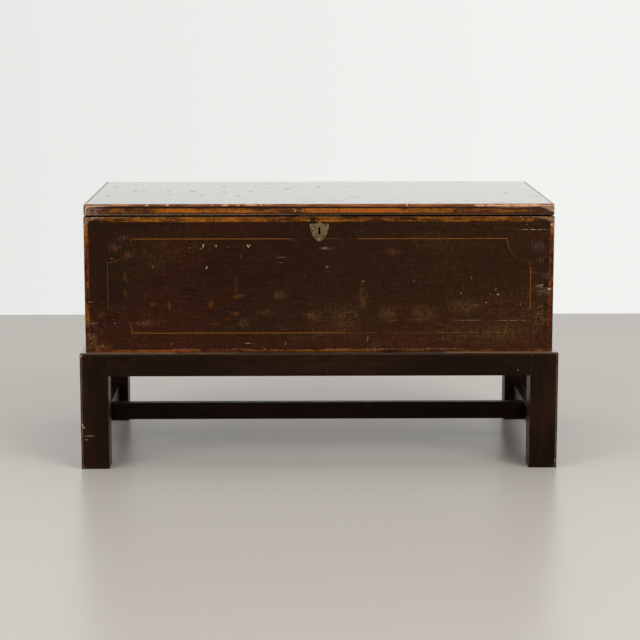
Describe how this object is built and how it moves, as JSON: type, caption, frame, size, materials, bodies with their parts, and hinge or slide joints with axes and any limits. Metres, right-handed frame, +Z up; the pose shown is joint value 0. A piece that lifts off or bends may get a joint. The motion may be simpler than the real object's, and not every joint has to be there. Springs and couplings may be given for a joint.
{
  "type": "painted wooden box on stand",
  "caption": "Rectangular painted wooden box with a flush hinged lid, lock and shield escutcheon, resting loose on a low joined stand with square legs and an H-shaped stretcher.",
  "frame": {"origin": "on the floor, under the middle of the stand", "axes": "+X to the right along the box's length, -Y out of the front face with the keyhole, +Z up"},
  "size_m": [0.85, 0.464, 0.4735],
  "materials": {
    "box_paint": "worn dark brown paint with ochre banding, satin",
    "lid_paint": "worn dark brown paint, polished, chipped along the arris",
    "stand_paint": "near-black brown lacquer, glossy, rubbed at the edges",
    "bare_wood": "bare aged softwood, matte",
    "aged_brass": "dull aged brass",
    "dark_iron": "dull dark iron"
  },
  "bodies": {
    "stand": {"leg_front_left": "stand_paint", "leg_front_right": "stand_paint", "leg_back_left": "stand_paint", "leg_back_right": "stand_paint", "front_rail": "stand_paint", "back_rail": "stand_paint", "left_rail": "stand_paint", "right_rail": "stand_paint", "left_stretcher": "stand_paint", "right_stretcher": "stand_paint", "cross_stretcher": "stand_paint"},
    "box": {"front_board": "box_paint", "back_board": "box_paint", "left_side_board": "box_paint", "right_side_board": "box_paint", "bottom_board_front": "bare_wood", "bottom_board_back": "bare_wood", "bottom_battens": "bare_wood", "bottom_batten_screws": "dark_iron", "hinge_box_leaf_left": "aged_brass", "hinge_box_leaf_right": "aged_brass", "hinge_pin_left": "aged_brass", "hinge_pin_right": "aged_brass", "hinge_box_screws": "aged_brass", "escutcheon": "aged_brass", "escutcheon_pins": "aged_brass", "lock_plate": "aged_brass", "lock_case": "dark_iron", "lock_screws": "aged_brass"},
    "lid": {"lid_board_front": "lid_paint", "lid_board_back": "lid_paint", "lid_batten_left": "bare_wood", "lid_batten_right": "bare_wood", "lid_batten_screws": "dark_iron", "hinge_lid_leaf_left": "aged_brass", "hinge_lid_leaf_right": "aged_brass", "hinge_lid_screws": "aged_brass", "link_plate": "aged_brass", "link_plate_screws": "aged_brass"},
    "bolt": {"lock_bolt": "dark_iron"}
  },
  "joints": [
    {"name": "box_lift", "type": "slide", "parent": "stand", "child": "box", "axis": [0, 0, 1], "range_m": [0, 0.25]},
    {"name": "lid_hinge", "type": "hinge", "parent": "box", "child": "lid", "pos_m": [0, 0.216, 0.45225], "axis": [-1, 0, 0], "range_deg": [0, 100]},
    {"name": "bolt_throw", "type": "slide", "parent": "box", "child": "bolt", "axis": [1, 0, 0], "range_m": [0, 0.008]}
  ]
}
